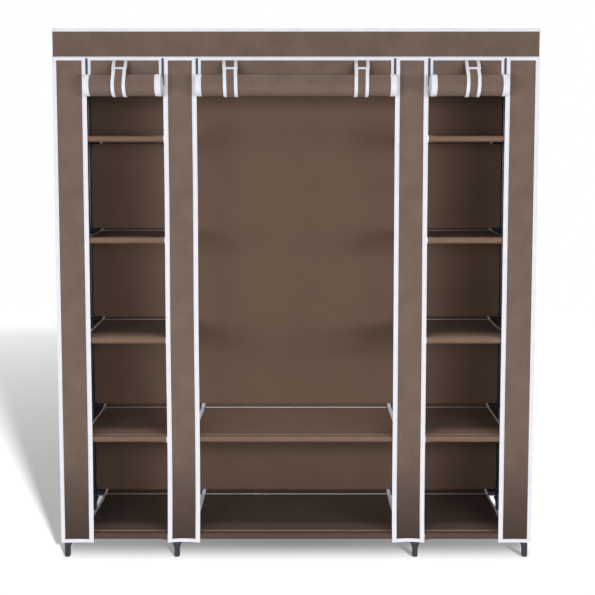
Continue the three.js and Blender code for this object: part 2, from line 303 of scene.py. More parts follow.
def tube_part(start, end):
    """An open tube between two points, with eased ends."""
    start, end = np.array([start, end], float)
    length = np.linalg.norm(end - start)
    radius, ease, inner = TUBE_RADIUS, TUBE_WALL * 0.3, TUBE_RADIUS - TUBE_WALL
    profile = [
        (0, inner + ease), (0, radius - ease), (ease, radius), (length - ease, radius),
        (length, radius - ease), (length, inner + ease), (length - ease, inner), (ease, inner),
    ]
    return turned(profile, start, (end - start) / length, closed=True)


def new_object(name, data):
    item = bpy.data.objects.new(name, data)
    bpy.context.scene.collection.objects.link(item)
    return item


def make(name, parts, finish, replaces=(), move=None):
    """One piece from its mesh parts, in its finish, riding on the wardrobe unless move says how it goes."""
    points, faces, uvs = [], [], []
    first = 0
    for part_points, part_faces, part_uvs in parts:
        points.append(part_points)
        faces += [[first + i for i in face] for face in part_faces]
        uvs += list(part_uvs)
        first += len(part_points)
    mesh = bpy.data.meshes.new(name)
    mesh.from_pydata(np.concatenate(points).tolist(), [], faces)
    layer = mesh.uv_layers.new(name="UVMap")
    layer.data.foreach_set("uv", np.concatenate(uvs).ravel())
    material, slot = finish
    mesh.materials.append(material)
    work = bmesh.new()
    work.from_mesh(mesh)
    bmesh.ops.recalc_face_normals(work, faces=work.faces)
    work.to_mesh(mesh)
    work.free()
    mesh.polygons.foreach_set("use_smooth", [True] * len(mesh.polygons))
    mesh.set_sharp_from_angle(angle=SHARP_ANGLE)
    piece = new_object(name, mesh)
    if replaces:
        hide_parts(*replaces)
    if move:
        move(piece)
    else:
        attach(piece, "wardrobe")
    return piece


RIPPLE_WAVES = 7
RIPPLE_SPREAD = (0.6, 1.8)


def ripple(a, b, seed, height, length, a_share=1.0, b_share=1.0):
    """A smooth uneven surface over a and b, from sine waves of seeded direction, length and phase."""
    random = np.random.default_rng(seed)
    total = 0.0
    for _ in range(RIPPLE_WAVES):
        turn = random.uniform(0, math.tau)
        wave_length = length * random.uniform(*RIPPLE_SPREAD)
        phase = random.uniform(0, math.tau)
        run = a * a_share * math.cos(turn) + b * b_share * math.sin(turn)
        total = total + np.sin(math.tau * run / wave_length + phase)
    return height * total / math.sqrt(RIPPLE_WAVES)


def swell(value, low, high, reach):
    """0 at both ends of a range and 1 beyond reach from them."""
    near = np.clip(np.minimum(value - low, high - value) / reach, 0, 1)
    return near * near * (3 - 2 * near)


# Materials. Noise scales are per metre.
def add_node(kind, *inputs, tree=None, **settings):
    """A shader node, in the tree of the sockets it is linked to, unless tree is given.

    Its inputs are linked or set in order, and None leaves one as it is.
    """
    tree = tree or next(value.id_data for value in inputs if isinstance(value, bpy.types.NodeSocket))
    node = tree.nodes.new(f"ShaderNode{kind}")
    for key, value in settings.items():
        setattr(node, key, value)
    for socket, value in zip(node.inputs, inputs):
        if isinstance(value, bpy.types.NodeSocket):
            tree.links.new(value, socket)
        elif value is not None:
            socket.default_value = value
    return node


def math_node(operation, *inputs):
    return add_node("Math", *inputs, operation=operation).outputs[0]


def times(first, second):
    return math_node("MULTIPLY", first, second)


def sine(value, pitch):
    """A sine wave of a pitch in metres."""
    return math_node("SINE", times(value, math.tau / pitch))


def linear(red, green, blue):
    """A colour written as it shows, from 0 to 255, in the renderer's linear values."""
    shown = [c / 255 for c in (red, green, blue)]
    return (*(c / 12.92 if c <= 0.04045 else ((c + 0.055) / 1.055) ** 2.4 for c in shown), 1.0)


def blend_colour(share, low, high):
    return add_node("Mix", share, *[None] * 5, low, high, data_type="RGBA").outputs[2]


def spread(value, low, high, to_low=0.0, to_high=1.0):
    """A value moved from one range to another, with its ends eased."""
    node = add_node("MapRange", value, low, high, to_low, to_high, interpolation_type="SMOOTHSTEP")
    return node.outputs[0]


def new_material(name, roughness, sheen=0.0, coat=0.0, specular=0.5):
    """A material and its node tree."""
    material = bpy.data.materials.new(name)
    material.use_nodes = True
    settings = {
        "Roughness": roughness, "Specular IOR Level": specular, "Sheen Weight": sheen,
        "Sheen Roughness": 0.6, "Coat Weight": coat, "Coat Roughness": 0.2,
    }
    for socket, value in settings.items():
        material.node_tree.nodes["Principled BSDF"].inputs[socket].default_value = value
    return material, material.node_tree


def finished(material, slot, colour, layers, rough=None):
    """The material and its slot, once linked. A bump layer is (height, distance), the lowest first."""
    tree = material.node_tree
    shader = tree.nodes["Principled BSDF"]
    tree.links.new(colour, shader.inputs["Base Color"])
    if rough:
        tree.links.new(rough, shader.inputs["Roughness"])
    normal = None
    for height, distance in layers:
        node = tree.nodes.new("ShaderNodeBump")
        node.inputs["Distance"].default_value = distance
        tree.links.new(height, node.inputs["Height"])
        if normal:
            tree.links.new(normal, node.inputs["Normal"])
        normal = node.outputs["Normal"]
    tree.links.new(normal, shader.inputs["Normal"])
    return material, slot


def object_place(tree):
    return tree.nodes.new("ShaderNodeTexCoord").outputs["Object"]


def cloth_place(tree, coordinates):
    """(u, v, both) in metres on the cloth, from its map, or from its X and Z."""
    if coordinates == "UV":
        both = tree.nodes.new("ShaderNodeTexCoord").outputs["UV"]
        place = add_node("SeparateXYZ", both)
        return place.outputs[0], place.outputs[1], both
    place = add_node("SeparateXYZ", object_place(tree))
    both = add_node("CombineXYZ", place.outputs[0], place.outputs[2])
    return place.outputs[0], place.outputs[2], both.outputs[0]


def noise(place, scale, detail=3.0, rough=0.55, distortion=0.0, stretch=None):
    if stretch:
        place = add_node("VectorMath", place, stretch, operation="MULTIPLY").outputs[0]
    node = add_node("TexNoise", place, None, scale, detail, rough, None, None, distortion)
    return node.outputs["Fac"]


EMBOSS_PITCH = 0.0021
RIB_PITCH = 0.0011
CORD_PITCH = 0.0014
TOOTH_PITCH = 0.0013
ZIP_WEAVE_PITCH = 0.0007
# Painted shade darkens the brown cloth towards the floor, up to this height.
FOOT_SHADE_TOP = 0.42
BROWN_LIGHT = linear(127, 107, 96)
BROWN_DARK = linear(114, 95, 85)
# A warmer brown, blended into the cloth inside as painted bounce light.
BROWN_BOUNCE = linear(120, 92, 74)
BROWN_PRESSED = linear(86, 72, 63)
BROWN_LINT = linear(148, 132, 119)
BLACK = (0, 0, 0, 1)
PURE_WHITE = (1, 1, 1, 1)


def nonwoven(name, coordinates="UV", mottle=1.0, shade_tone=1.0, foot_shade_tone=1.0, bounce_share=0.0):
    """Brown spun-bonded cloth: pressed points, loose fibres and mottling.

    Painted shade darkens it all by one share and towards the floor by another, and a share of a warmer brown is
    painted bounce light of the inside.
    """
    material, tree = new_material(name, 0.86, sheen=0.03, specular=0.12)
    u, v, place = cloth_place(tree, coordinates)
    diagonals = [sine(math_node(kind, u, v), EMBOSS_PITCH) for kind in ("ADD", "SUBTRACT")]
    points = spread(times(*diagonals), 0.30, 0.75)
    fibres = noise(place, 1400.0, 5.0, 0.7, 1.5, (1.0, 0.35, 1.0))
    cross_fibres = noise(place, 1100.0, 5.0, 0.7, 1.5, (0.3, 1.0, 1.0))
    fibre_mix = times(fibres, cross_fibres)
    clouds = noise(place, 11.0, 4.0, 0.6)
    flecks = noise(place, 160.0, 4.0, 0.65)
    mixed = math_node("MULTIPLY_ADD", clouds, 0.55, times(flecks, 0.45))
    reach = 0.14 / mottle
    colour = blend_colour(spread(mixed, 0.5 - reach, 0.5 + reach), BROWN_DARK, BROWN_LIGHT)
    colour = blend_colour(times(points, 0.30), colour, BROWN_PRESSED)
    colour = blend_colour(spread(fibre_mix, 0.30, 0.52, 0.0, 0.16), colour, BROWN_LINT)
    # Painted bounce light: a share of the warmer brown.
    if bounce_share:
        colour = blend_colour(bounce_share, colour, BROWN_BOUNCE)
    # Painted shade: darker all over, and darker still towards the floor.
    if shade_tone < 1 or foot_shade_tone < 1:
        height = add_node("SeparateXYZ", object_place(tree)).outputs[2]
        shade = spread(height, HEM, FOOT_SHADE_TOP, 1 - foot_shade_tone, 1 - shade_tone)
        colour = blend_colour(shade, colour, BLACK)
    creases = noise(place, 38.0, 3.0)
    dents = math_node("SUBTRACT", 1.0, points)
    layers = [(creases, 0.0009 * mottle), (dents, 0.00014), (fibre_mix, 0.00016)]
    return finished(material, "brown_fabric", colour, layers, spread(flecks, 0.3, 0.7, 0.78, 0.93))


def binding(name, coordinates="UV", shade_tone=1.0):
    """White woven tape with fine ribs across it, and a row of stitches along its free edge."""
    material, tree = new_material(name, 0.8, sheen=0.05, specular=0.2)
    u, v, place = cloth_place(tree, coordinates)
    ribs, cords = sine(v, RIB_PITCH), sine(u, CORD_PITCH)
    weave = math_node("MULTIPLY_ADD", ribs, 0.6, times(cords, 0.4))
    clouds = spread(noise(place, 26.0, 4.0, 0.6), 0.3, 0.7)
    colour = blend_colour(clouds, linear(237, 238, 248), linear(246, 247, 252))
    # Grey where the weave is low, between ribs and cords: painted shade.
    colour = blend_colour(spread(weave, -1.0, 0.2, 0.22, 0.0), colour, linear(186, 186, 198))
    layers = [(noise(place, 70.0, 3.0), 0.0008), (weave, 0.00009)]
    if coordinates == "UV":
        off_line = math_node("ABSOLUTE", math_node("SUBTRACT", u, STITCH_INSET))
        line = spread(off_line, 0.0002, 0.0006, 1.0, 0.0)
        run = math_node("FRACT", math_node("DIVIDE", v, STITCH_PITCH))
        thread = times(line, spread(run, 0.16, 0.30))
        # The stitch holes are painted grey: painted shade in them.
        hole_shade = times(line, spread(run, 0.06, 0.16, 1.0, 0.0))
        colour = blend_colour(times(hole_shade, 0.7), colour, linear(120, 116, 122))
        colour = blend_colour(times(thread, 0.6), colour, linear(250, 250, 252))
        groove = spread(off_line, 0.0, 0.0014, 0.0, 1.0)
        layers += [(groove, 0.00035), (thread, 0.0003)]
    # Painted shade darkens the whole tape.
    if shade_tone < 1:
        colour = blend_colour(1 - shade_tone, colour, BLACK)
    return finished(material, "white_binding", colour, layers)


def zip_tape():
    """Navy tape with a closed coil down its middle, placed by height."""
    material, tree = new_material("navy_zip_tape", 0.62)
    source = tree.nodes.new("ShaderNodeTexCoord")
    across = add_node("SeparateXYZ", source.outputs["UV"]).outputs[0]
    height = add_node("SeparateXYZ", source.outputs["Object"]).outputs[2]
    side = math_node("ABSOLUTE", math_node("SUBTRACT", across, ZIP_WIDTH / 2))
    coil = spread(side, 0.0009, 0.0015, 1.0, 0.0)
    coil_teeth = times(coil, spread(sine(height, TOOTH_PITCH), -0.5, 0.5))
    weave = sine(side, ZIP_WEAVE_PITCH)
    mottle = noise(source.outputs["Object"], 300.0)
    colour = blend_colour(mottle, linear(46, 52, 78), linear(66, 73, 104))
    colour = blend_colour(coil_teeth, colour, linear(104, 112, 142))
    return finished(material, "dark_plastic", colour, [(weave, 0.00008), (coil_teeth, 0.0005)])


def painted_tube():
    """Black baked paint on steel tube: fine orange peel, scuffs along the tube and a few pale rubs."""
    material, tree = new_material("black_tube_paint", 0.34, coat=0.25)
    place = object_place(tree)
    peel = noise(place, 900.0, 2.0)
    scuffs = noise(place, 240.0, 5.0, 0.7, 0.0, (1.0, 1.0, 0.08))
    rubs = spread(noise(place, 60.0, 5.0, 0.75), 0.66, 0.74)
    colour = blend_colour(scuffs, linear(11, 11, 14), linear(24, 24, 28))
    colour = blend_colour(times(rubs, 0.5), colour, linear(96, 96, 98))
    rough = spread(scuffs, 0.3, 0.7, 0.26, 0.52)
    return finished(material, "black_tube", colour, [(peel, 0.00006), (scuffs, 0.00005)], rough)


def moulded_plastic():
    """Blue-black moulded plastic with a fine grain, flow marks and patches that have gone a little pale."""
    material, tree = new_material("dark_moulded_plastic", 0.46)
    place = object_place(tree)
    grain = noise(place, 1600.0, 2.0)
    flow = noise(place, 55.0, 4.0, 0.6, 2.0, (1.0, 1.0, 0.4))
    worn = spread(noise(place, 210.0, 5.0, 0.75), 0.60, 0.72, 0.0, 0.35)
    colour = blend_colour(flow, linear(24, 25, 35), linear(35, 37, 50))
    colour = blend_colour(worn, colour, linear(86, 90, 104))
    rough = spread(flow, 0.3, 0.7, 0.38, 0.58)
    return finished(material, "dark_plastic", colour, [(flow, 0.0003), (grain, 0.00008)], rough)


ZIP_WIDTH = 0.0066
BROWN = nonwoven("brown_nonwoven")
# Shaded copies of the brown cloth for the back, the strips, the header and the shelves: painted shade, and on
# the back and shelves painted bounce light.
BROWN_BACK_SHADED = nonwoven("brown_nonwoven_back_shaded", mottle=0.5, shade_tone=0.97, foot_shade_tone=0.87, bounce_share=0.5)
BROWN_STRIP_SHADED = nonwoven("brown_nonwoven_strip_shaded", foot_shade_tone=0.40)
BROWN_HEADER_SHADED = nonwoven("brown_nonwoven_header_shaded", shade_tone=0.9, foot_shade_tone=0.9)
BROWN_SHELF_SHADED = nonwoven("brown_nonwoven_shelf_shaded", shade_tone=0.94, foot_shade_tone=0.46, bounce_share=0.6)
BROWN_DOOR = nonwoven("brown_nonwoven_door", "Object")
WHITE = binding("white_binding_tape")
# A grey copy of the white tape for the back seams of the side bays: painted shade.
WHITE_SEAM_SHADED = binding("white_binding_seam_shaded", shade_tone=0.6)
WHITE_DOOR = binding("white_binding_tape_door", "Object")
NAVY = zip_tape()
PAINT = painted_tube()
PLASTIC = moulded_plastic()


# Frame
def hollow_profile(start, end, radius, collars):
    """A moulded sleeve's profile, as a closed outline, with a raised collar at each named end."""
    proud = radius + SLEEVE_COLLAR
    collar = [(SLEEVE_COLLAR, proud), (COLLAR_HEIGHT, proud), (COLLAR_HEIGHT + SLEEVE_COLLAR, radius)]

    def lip(edge, inward, word):
        outside = collar if word in collars else [(SLEEVE_COLLAR, radius)]
        steps = [(0, BORE_RADIUS), (0, radius - SLEEVE_COLLAR), *outside]
        return [(edge + inward * step, out) for step, out in steps]

    return lip(start, 1, "start") + lip(end, -1, "end")[::-1]


def cap_profile(start, end, radius):
    """The top connector's closed sleeve, with a low domed cap."""
    dome = [
        (end - CAP_DOME * (1 - math.sin(a)), radius * math.cos(a) ** 0.5)
        for a in np.linspace(0, math.pi / 2 * 0.92, 6)
    ]
    collar = hollow_profile(start, end, radius, ("start",))[:5]
    return [(start, BORE_RADIUS * 0.98), *collar[1:], *dome]


def connector_parts(x, y, z, capped, towards):
    """One connector: an upright sleeve round the post, and a socket for each rail."""
    rise = CONNECTOR_RISE
    if capped:
        upright = turned(cap_profile(0, 2 * rise, SLEEVE_RADIUS), (x, y, z - rise), (0, 0, 1))
    else:
        profile = hollow_profile(0, 2 * rise, SLEEVE_RADIUS, ("start", "end"))
        upright = turned(profile, (x, y, z - rise), (0, 0, 1), closed=True)
    socket = hollow_profile(SOCKET_START, SOCKET_REACH, SOCKET_RADIUS, ("end",))
    sockets = [turned(socket, (x, y, z), direction, closed=True) for direction in towards]
    return [upright, *sockets]


def build_level(name, low, high):
    """The rails and connectors of one level, between the posts that its node spans."""
    z = low.z + CONNECTOR_RISE
    xs = [x for x in POST_XS if low.x < x < high.x]
    capped = name == "top_frame"
    rails, connectors = [], []
    for y in RAIL_YS:
        inward = (0, -1 if y > 0 else 1, 0)
        for x in xs:
            towards = [inward] + [(-1, 0, 0)] * (x > xs[0]) + [(1, 0, 0)] * (x < xs[-1])
            connectors += connector_parts(x, y, z, capped, towards)
        for start, end in zip(xs, xs[1:]):
            rails.append(tube_part((start + SLEEVE_RADIUS, y, z), (end - SLEEVE_RADIUS, y, z)))
    for x in xs:
        rails.append(tube_part((x, FRONT_RAIL + SLEEVE_RADIUS, z), (x, BACK_RAIL - SLEEVE_RADIUS, z)))
    make(f"rails_{name}", rails, PAINT, [name])
    make(f"connectors_{name}", connectors, PLASTIC, [name])


def build_posts():
    for name, place in POSTS.items():
        low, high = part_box(f"post_{name}")
        post = tube_part((place.x, place.y, low.z), (place.x, place.y, high.z))
        make(f"upright_{name}", [post], PAINT, [f"post_{name}"])


def foot_ring(x, y, z, left, right, half_depth):
    """A rounded rectangle about a post's centre, as a superellipse."""
    angles = np.linspace(0, math.tau, FOOT_RING_POINTS, endpoint=False)
    cos, sin = np.cos(angles), np.sin(angles)
    across = np.sign(cos) * np.abs(cos) ** (2 / FOOT_CORNER_POWER)
    deep = np.sign(sin) * np.abs(sin) ** (2 / FOOT_CORNER_POWER)
    xs = x + np.where(across < 0, across * left, across * right)
    return joined(xs, y + deep * half_depth, z)


def build_feet():
    """Feet with a rounded tip, a flare to each side (only inwards on an outer foot) and a plug."""
    tip = [FOOT_TIP * (1 - math.cos(a)) for a in np.linspace(0.25, math.pi / 2, 6)]
    heights = [*tip, *np.linspace(FOOT_TIP * 1.5, HEM - FOOT_SHOULDER, 16)]
    plug_radius = TUBE_RADIUS - TUBE_WALL - GAP
    plug_profile = [(height, plug_radius * share) for height, share in PLUG_PROFILE]
    for name, place in POSTS.items():
        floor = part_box(f"foot_{name}")[0].z
        flares = [0 if "outer" in name and place.x * sign > 0 else 1 for sign in (-1, 1)]

        def ring(height, share, ease):
            bend = max(0.0, share - FOOT_FLARE_SHARE) / (1 - FOOT_FLARE_SHARE)
            wider = FOOT_FLARE * bend**FOOT_FLARE_POWER
            widths = [FOOT_WIDTH / 2 + flare * wider - ease for flare in flares]
            return foot_ring(place.x, place.y, floor + height, *widths, FOOT_DEPTH / 2 - ease)

        rings = []
        for height in heights:
            drop = max(0.0, 1 - height / FOOT_TIP)
            rings.append(ring(height, height / HEM, FOOT_TIP * (1 - math.sqrt(1 - drop**2))))
        rings.append(ring(HEM - GAP, 1, FOOT_EASE))
        plug = turned(plug_profile, (place.x, place.y, floor + HEM), (0, 0, 1))
        make(f"leg_{name}", [loft(rings), plug], PLASTIC, [f"foot_{name}"])


def build_rod():
    """The hanging rod, with a clip round the side rail at each end."""
    y, z = sum(RAIL_YS) / 2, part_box("top_frame")[0].z + CONNECTOR_RISE
    _, left, right, _ = POST_XS
    rod = tube_part((left + SLEEVE_RADIUS, y, z), (right - SLEEVE_RADIUS, y, z))
    clip = hollow_profile(-ROD_CLIP_REACH, ROD_CLIP_REACH, SLEEVE_RADIUS, ("start", "end"))
    cup = hollow_profile(SOCKET_START, ROD_CUP_REACH, SOCKET_RADIUS, ("end",))
    clips = []
    for x, inward in ((left, 1), (right, -1)):
        clips.append(turned(clip, (x, y, z), (0, 1, 0), closed=True))
        clips.append(turned(cup, (x, y, z), (inward, 0, 0), closed=True))
    make("rod_tube", [rod], PAINT, ["hanging_rod"])
    make("rod_clips", clips, PLASTIC, ["hanging_rod"])


def both_sides(width):
    return [("left", width), ("right", width)]


def sewn(name, grid, edges=(), replaces=(), move=None, finishes=(BROWN, WHITE)):
    """A sheet of cloth on a grid of points, with its seams and a folded tape on each (edge, width)."""
    cloth = make(name, [sheet_part(grid)], finishes[0], replaces, move)
    tapes = [
        make(f"{name}_binding_{edge}", [tape_part(grid, edge, width)], finishes[1], move=move)
        for edge, width in edges
    ]


def panel_grid(left, right, bottom, top, columns, rows, place):
    """A grid of place(a, b). left and right may be functions of b, and bottom one of the share across."""
    s, t = np.meshgrid(np.linspace(0, 1, columns), np.linspace(0, 1, rows))
    low = bottom(s) if callable(bottom) else bottom
    b = low + (top - low) * t
    start = left(b) if callable(left) else left
    end = right(b) if callable(right) else right
    a = start + (end - start) * s
    return joined(*place(a, b))


HEM_LIFT = 0.0005
HEM_RISE = 0.0032
OUTER_RISE_SHARE = 0.3
STRIP_LAP = 0.010
STRIP_BULGE = 0.0009
STRIP_REACH = 0.12
STRIP_EDGE_REACH = 0.15
STRIP_FLARE = 0.00096
STRIP_FLARE_HEIGHT = 0.07
STRIP_TIED = 0.018
STRIP_TIED_REACH = 0.03


def build_strips():
    """The four front strips, with bound sides and a bound hem that rises a little in the middle."""
    spans = {
        "left_outer": (-SIDE + EDGE_INSET, OPENINGS["left"][0]),
        "left_inner": (OPENINGS["left"][1], OPENINGS["middle"][0]),
        "right_inner": (OPENINGS["middle"][1], OPENINGS["right"][0]),
        "right_outer": (OPENINGS["right"][1], SIDE - EDGE_INSET),
    }
    top, loose = HEADER_BOTTOM + STRIP_LAP, SIDE - STRIP_TIED
    for number, (name, (left, right)) in enumerate(spans.items()):
        free = {word: name != f"{word}_outer" for word in ("left", "right")}
        rise = HEM_RISE * (1 if all(free.values()) else OUTER_RISE_SHARE)

        def side(x, moves):
            def at(z):
                drift = ripple(z, 0, number * 7 + int(x > 0) + STRIP_EDGE_SEED, *STRIP_EDGE_WAVE)
                flare = STRIP_FLARE * np.exp(-(((z - HEM) / STRIP_FLARE_HEIGHT) ** 2))
                return x + (drift * swell(z, HEM, top, STRIP_EDGE_REACH) + flare * np.sign(x)) * moves
            return at

        def hem(share):
            return HEM + HEM_LIFT + rise * np.sin(np.pi * share)

        def place(x, z):
            bulge = ripple(x, z, number + STRIP_SEED, *STRIP_WAVE) + STRIP_BULGE
            bulge = bulge * swell(z, HEM, top, STRIP_REACH) * swell(x, -loose, loose, STRIP_TIED_REACH)
            return x, FRONT_CLOTH - bulge, z

        sides = side(left, free["left"]), side(right, free["right"])
        grid = panel_grid(*sides, hem, top, 14, 120, place)
        edges = [("bottom", HEM_BAND), *((word, EDGE_BAND) for word in free if free[word])]
        node = f"strip_{name}"
        sewn(f"front_{node}", grid, edges, [node, "front_binding"],
             finishes=(BROWN_STRIP_SHADED, WHITE))


HEADER_SIDE_INSET = 0.0035
HEADER_TOP_INSET = 0.0015
HEADER_REACH = 0.03


def build_header():
    def place(x, z):
        wave = ripple(x, z, HEADER_SEED, *HEADER_WAVE) * swell(z, HEADER_BOTTOM, TOP, HEADER_REACH)
        return x, FRONT_CLOTH - (HEADER_PROUD + wave), z

    side, top = SIDE - HEADER_SIDE_INSET, TOP - HEADER_TOP_INSET
    grid = panel_grid(-side, side, HEADER_BOTTOM, top, 120, 16, place)
    sewn("header_panel", grid, [("bottom", HEADER_HEM)], ["header_band"],
         finishes=(BROWN_HEADER_SHADED, WHITE))


WALL_REACH = 0.06
SIDE_REACH = 0.05
BACK_BULGE = 0.0014
SIDE_BULGE = 0.0010
ROOF_DIP = 0.0072
ROOF_DIP_REACH = 0.085
ROOF_DIP_LIMIT = 0.0085
ROOF_RIM_DIP = 0.004
ROOF_RIM_REACH = 0.02


def build_walls():
    """The back, the sides and the roof, which dips between the posts."""
    across = (-SIDE + EDGE_INSET, SIDE - EDGE_INSET)
    deep = (FRONT + EDGE_INSET, BACK - EDGE_INSET)
    up = (HEM, TOP - EDGE_INSET)

    def back(x, z):
        free = swell(x, -SIDE, SIDE, WALL_REACH) * swell(z, HEM, TOP, WALL_REACH)
        return x, BACK_CLOTH + (ripple(x, z, BACK_SEED, *BACK_WAVE) + BACK_BULGE) * free, z

    sewn("back_cloth", panel_grid(*across, *up, 150, 120, back), [("bottom", HEM_BAND)],
         ["back_panel"], finishes=(BROWN_BACK_SHADED, WHITE))
    for sign, word in ((-1, "left"), (1, "right")):
        def wall(y, z):
            free = swell(y, FRONT, BACK, SIDE_REACH) * swell(z, HEM, TOP, WALL_REACH)
            bulge = (ripple(y, z, SIDE_SEED + sign, *SIDE_WAVE) + SIDE_BULGE) * free
            return sign * (SIDE_CLOTH + bulge), y, z

        sewn(f"side_cloth_{word}", panel_grid(*deep, *up, 46, 120, wall),
             [("bottom", HEM_BAND)], [f"side_panel_{word}"])

    def roof(x, y):
        caps = [np.hypot(x - px, y - py) for px in POST_XS for py in RAIL_YS]
        rim = np.minimum(SIDE - np.abs(x), np.minimum(y - FRONT, BACK - y))
        off = np.minimum(np.minimum.reduce(caps), rim + ROOF_RIM_DIP)
        dip = ROOF_DIP * (1 - np.exp(-((off / ROOF_DIP_REACH) ** 2))) + ripple(x, y, ROOF_SEED, *ROOF_WAVE)
        dip = np.clip(dip, 0, ROOF_DIP_LIMIT) * np.clip(rim / ROOF_RIM_REACH, 0, 1)
        return x, y, TOP - CLOTH_INSET - dip

    sewn("roof_cloth", panel_grid(*across, *deep, 150, 50, roof), (), ["roof_panel"])


def piping(name, x, y, z, first, second, width):
    make(name, [corner_part(joined(x, y, z), first, second, width)], WHITE, ["cover_piping"])


def build_piping():
    """Bound seams along the cover's upright corners and round its top."""
    side_places = ((-SIDE, "left"), (SIDE, "right"))
    face_places = ((FRONT, "front"), (BACK, "back"))
    down = (0, 0, -1)
    heights = np.linspace(HEM, TOP - 0.001, 90)
    for x, x_word in side_places:
        for y, y_word in face_places:
            drift = ripple(heights, 0, int(x > 0) + 2 * int(y > 0) + PIPING_SEED, *PIPING_WAVE)
            piping(f"corner_piping_{x_word}_{y_word}", x, y + drift, heights,
                   (-np.sign(x), 0, 0), (0, -np.sign(y), 0), CORNER_BAND)
    xs, ys = np.linspace(-SIDE, SIDE, 120), np.linspace(FRONT, BACK, 40)
    for y, word in face_places:
        proud = HEADER_PROUD if word == "front" else 0
        piping(f"top_piping_{word}", xs, y - proud, TOP, down, (0, -np.sign(y), 0), TOP_BAND)
    for x, word in side_places:
        piping(f"top_piping_{word}", x, ys, TOP, down, (-np.sign(x), 0, 0), TOP_BAND)


# Shelves
SHELF_SLACK = 0.0006
SHELF_LOOP = TUBE_RADIUS + SHELF_SLACK + CLOTH / 2
SOCKET_LOOP = SOCKET_RADIUS + SLEEVE_COLLAR + CLOTH * 0.7
SOCKET_CLEAR = 0.002
SOCKET_STEP = 0.003
SEAM_REACH = 0.0325
SEAM_DEPTH = 0.0017
SEAM_WIDTH = 0.0030
FRONT_SEAM = 0.0028
BACK_SEAM = 0.0013
HEM_ALLOWANCE = 0.005
LAYER = CLOTH + 0.0004
SHELF_TOP = 0.0034
SHELF_SAG = 0.0040
SHELF_LAP = 0.021
RUFFLE = 0.0008
FIRST_SHELF_RUFFLE = 0.0030
RUFFLE_LENGTH = 0.09


def shelf_line(radius):
    """A shelf's (y, z) line, and where its middle starts and ends.

    It goes from its seam round the front rail and back, and the same at the back rail.
    """
    under = SHELF_TOP - LAYER
    seam = math.hypot(SEAM_REACH, under)
    low = math.atan2(under, SEAM_REACH) - math.acos(radius / seam)
    high = math.atan2(SHELF_TOP, SEAM_REACH) + math.acos(radius / seam)
    hem = [(SEAM_REACH + HEM_ALLOWANCE, under), (SEAM_REACH, under)]
    round_rail = radius * on_circle(np.linspace(low, high - math.tau, 30))
    to_seam = between(round_rail[-1], np.array([SEAM_REACH, SHELF_TOP]), (0.3, 0.6, 0.8))
    at_seam = [
        (SEAM_REACH - SEAM_WIDTH, SHELF_TOP - SEAM_DEPTH),
        (SEAM_REACH - SEAM_WIDTH * 0.4, SHELF_TOP - SEAM_DEPTH),
        (SEAM_REACH + SEAM_WIDTH * 0.5, SHELF_TOP),
    ]
    front = np.concatenate([hem, round_rail, to_seam, at_seam])
    back = front[::-1] * (-1, 1)
    front[:, 0] += FRONT_RAIL
    back[:, 0] += BACK_RAIL
    share = np.linspace(0, 1, 26)[1:-1]
    ys = front[-1, 0] + (back[0, 0] - front[-1, 0]) * share
    sheet = joined(ys, SHELF_TOP - SHELF_SAG * 4 * share * (1 - share))
    return np.concatenate([front, sheet, back]), len(front), len(front) + len(sheet)


def ridge_part(line, height):
    """A low rounded ridge of thread along a line on a sheet."""
    half, sunk = SEAM_WIDTH / 2, height * 0.4
    section = [*(on_circle(np.linspace(0, math.pi, 7)) * (half, height)), (-half, -sunk), (half, -sunk)]
    return sweep(line, section, (0, 1, 0), (0, 0, 1))


def build_shelf(name, low, high, seed, ruffle):
    """One shelf slung between two rails, wider over their sockets. ruffle is its sides' unevenness."""
    z = (low.z + high.z) / 2
    side_bay = "middle" not in name
    start = low.x - (SHELF_LAP if side_bay and low.x > 0 else 0)
    end = high.x + (SHELF_LAP if side_bay and high.x < 0 else 0)
    xs = np.linspace(start, end, 46)
    on_socket = 1 - swell(xs, low.x - SOCKET_CLEAR, high.x + SOCKET_CLEAR, SOCKET_STEP)
    radii = SHELF_LOOP + (SOCKET_LOOP - SHELF_LOOP) * on_socket
    lines, (first, *_), (last, *_) = zip(*map(shelf_line, radii))
    grid = np.empty((len(lines[0]), len(xs), 3))
    grid[..., 0] = xs
    grid[..., 1:] = np.stack(lines, axis=1)
    inside = np.zeros((len(lines[0]), 1))
    inside[first:last, 0] = np.sin(np.linspace(0, math.pi, last - first))
    off_middle = np.abs(2 * (xs - start) / (end - start) - 1)
    x, y = grid[..., 0], grid[..., 1]
    grid[..., 2] += z + ripple(x, y, seed, *SHELF_WAVE) * inside
    grid[..., 2] += ripple(y, 0, seed + 5, ruffle, RUFFLE_LENGTH) * inside**0.5 * off_middle**8
    tuck = ripple(y, 0, seed + 9, *SHELF_EDGE_WAVE) * inside**0.5 * np.sign(x - (start + end) / 2)
    grid[..., 0] += tuck * off_middle**2
    back_finish = WHITE_SEAM_SHADED if side_bay else WHITE
    ridges = ((first - 1, BROWN, "front", FRONT_SEAM), (last, back_finish, "back", BACK_SEAM))
    for row, finish, word, height in ridges:
        line = grid[row, 1:-1] + (0, 0, CLOTH / 2)
        make(f"seam_{word}_{name}", [ridge_part(line, height)], finish)
    edges = both_sides(SHELF_BAND if side_bay else MIDDLE_SHELF_BAND)
    sewn(f"cloth_{name}", grid, edges, [name], None,
         (BROWN_SHELF_SHADED, WHITE))


def build_shelves():
    for index, (name, (low, high)) in enumerate(boxes("shelf_").items()):
        ruffle = FIRST_SHELF_RUFFLE if name == "left_0" else RUFFLE
        build_shelf(f"shelf_{name}", low, high, SHELF_SEED + 3 * index, ruffle)


